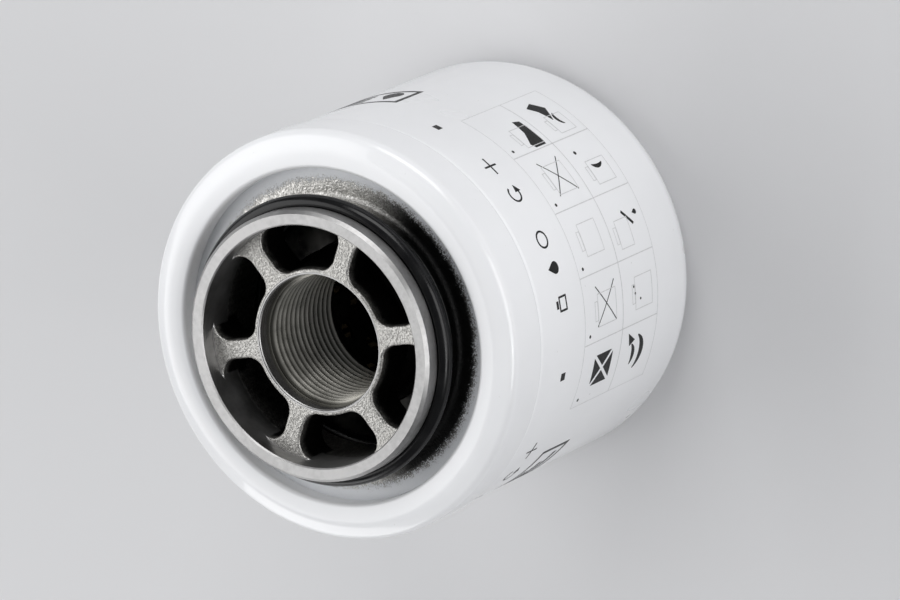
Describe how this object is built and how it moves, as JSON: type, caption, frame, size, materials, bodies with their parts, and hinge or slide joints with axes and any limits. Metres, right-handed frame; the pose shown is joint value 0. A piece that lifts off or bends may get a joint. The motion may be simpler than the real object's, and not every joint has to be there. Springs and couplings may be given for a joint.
{
  "type": "oil filter",
  "caption": "Spin-on oil filter: white steel can rolled over a cast cover with a spoked, threaded hub and a sealed collar; pleated element, drain-back and bypass valves inside.",
  "frame": {"origin": "centre of the closed end, on the plane the can stands on", "axes": "+Z along the can's axis towards the threaded end; -Y is the side that carries the fitting pictograms"},
  "size_m": [0.0972, 0.0972, 0.0972],
  "materials": {
    "white_enamel": "gloss white stoved enamel on drawn steel sheet",
    "cast_aluminium": "die-cast skin, turned on the face, groove and thread",
    "black_rubber": "moulded nitrile rubber",
    "plated_steel": "zinc-plated pressed sheet",
    "spring_steel": "oiled spring wire",
    "filter_paper": "resin-impregnated pleated filter paper",
    "potting_resin": "poured adhesive bed",
    "hot_glue": "hot-melt bead"
  },
  "bodies": {
    "housing": {"can_shell": "white_enamel", "base_plate": "cast_aluminium", "mounting_o_ring": "black_rubber", "rim_seal": "black_rubber", "support_spring": "spring_steel"},
    "drain_back_valve": {"drain_back_diaphragm": "black_rubber", "valve_backing_ring": "plated_steel"},
    "element": {"element_grommet": "black_rubber", "top_end_cap": "plated_steel", "top_potting": "potting_resin", "pleated_media": "filter_paper", "seam_clip": "plated_steel", "pleat_bands": "hot_glue", "centre_tube": "plated_steel", "bottom_potting": "potting_resin", "bottom_end_cap": "plated_steel", "bypass_seat": "plated_steel", "bypass_cage": "plated_steel", "bypass_spring": "spring_steel", "spring_seat": "plated_steel"},
    "bypass_valve": {"bypass_poppet": "plated_steel", "poppet_seal": "black_rubber"}
  },
  "joints": [
    {"name": "drain_back_lift", "type": "slide", "parent": "housing", "child": "drain_back_valve", "axis": [0, 0, -1], "range_m": [0, 0.0015], "stiffness_N_per_m": 500, "springref_m": -0.002},
    {"name": "element_float", "type": "slide", "parent": "housing", "child": "element", "axis": [0, 0, -1], "range_m": [0, 0.0015], "stiffness_N_per_m": 8000, "springref_m": -0.01, "deforming": ["support_spring"]},
    {"name": "bypass_lift", "type": "slide", "parent": "element", "child": "bypass_valve", "axis": [0, 0, 1], "range_m": [0, 0.003], "stiffness_N_per_m": 1300, "springref_m": -0.012, "deforming": ["bypass_spring"]}
  ]
}
